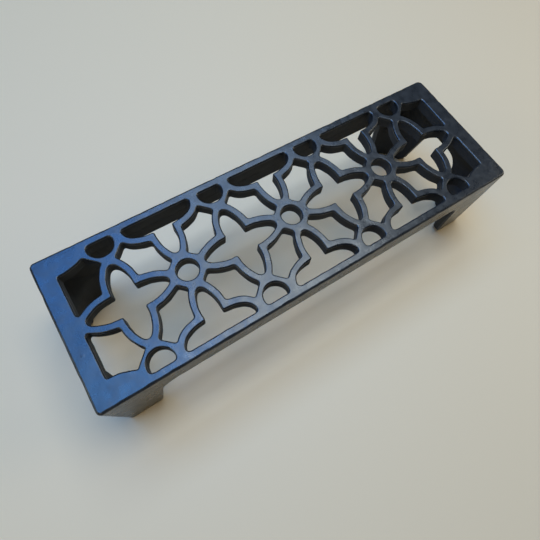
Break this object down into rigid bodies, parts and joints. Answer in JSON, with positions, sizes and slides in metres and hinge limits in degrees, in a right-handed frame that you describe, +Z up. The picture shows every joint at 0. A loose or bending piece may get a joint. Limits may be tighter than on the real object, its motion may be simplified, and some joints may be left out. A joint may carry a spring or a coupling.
{
  "type": "metal grille",
  "caption": "Black painted cast-iron ventilation grille: a long flat face of pierced rosettes and half stars on a shallow band with angled corner legs.",
  "frame": {"origin": "middle of the four feet, on the surface that they stand on", "axes": "+X along the grille's length, +Y across its width, +Z up through the pierced face"},
  "size_m": [0.225, 0.072, 0.051],
  "materials": {
    "black_painted_iron": "smooth black satin-gloss paint over sand-cast iron, with the slight unevenness of the casting under it"
  },
  "bodies": {
    "root": {"grille_casting": "black_painted_iron"}
  },
  "joints": []
}
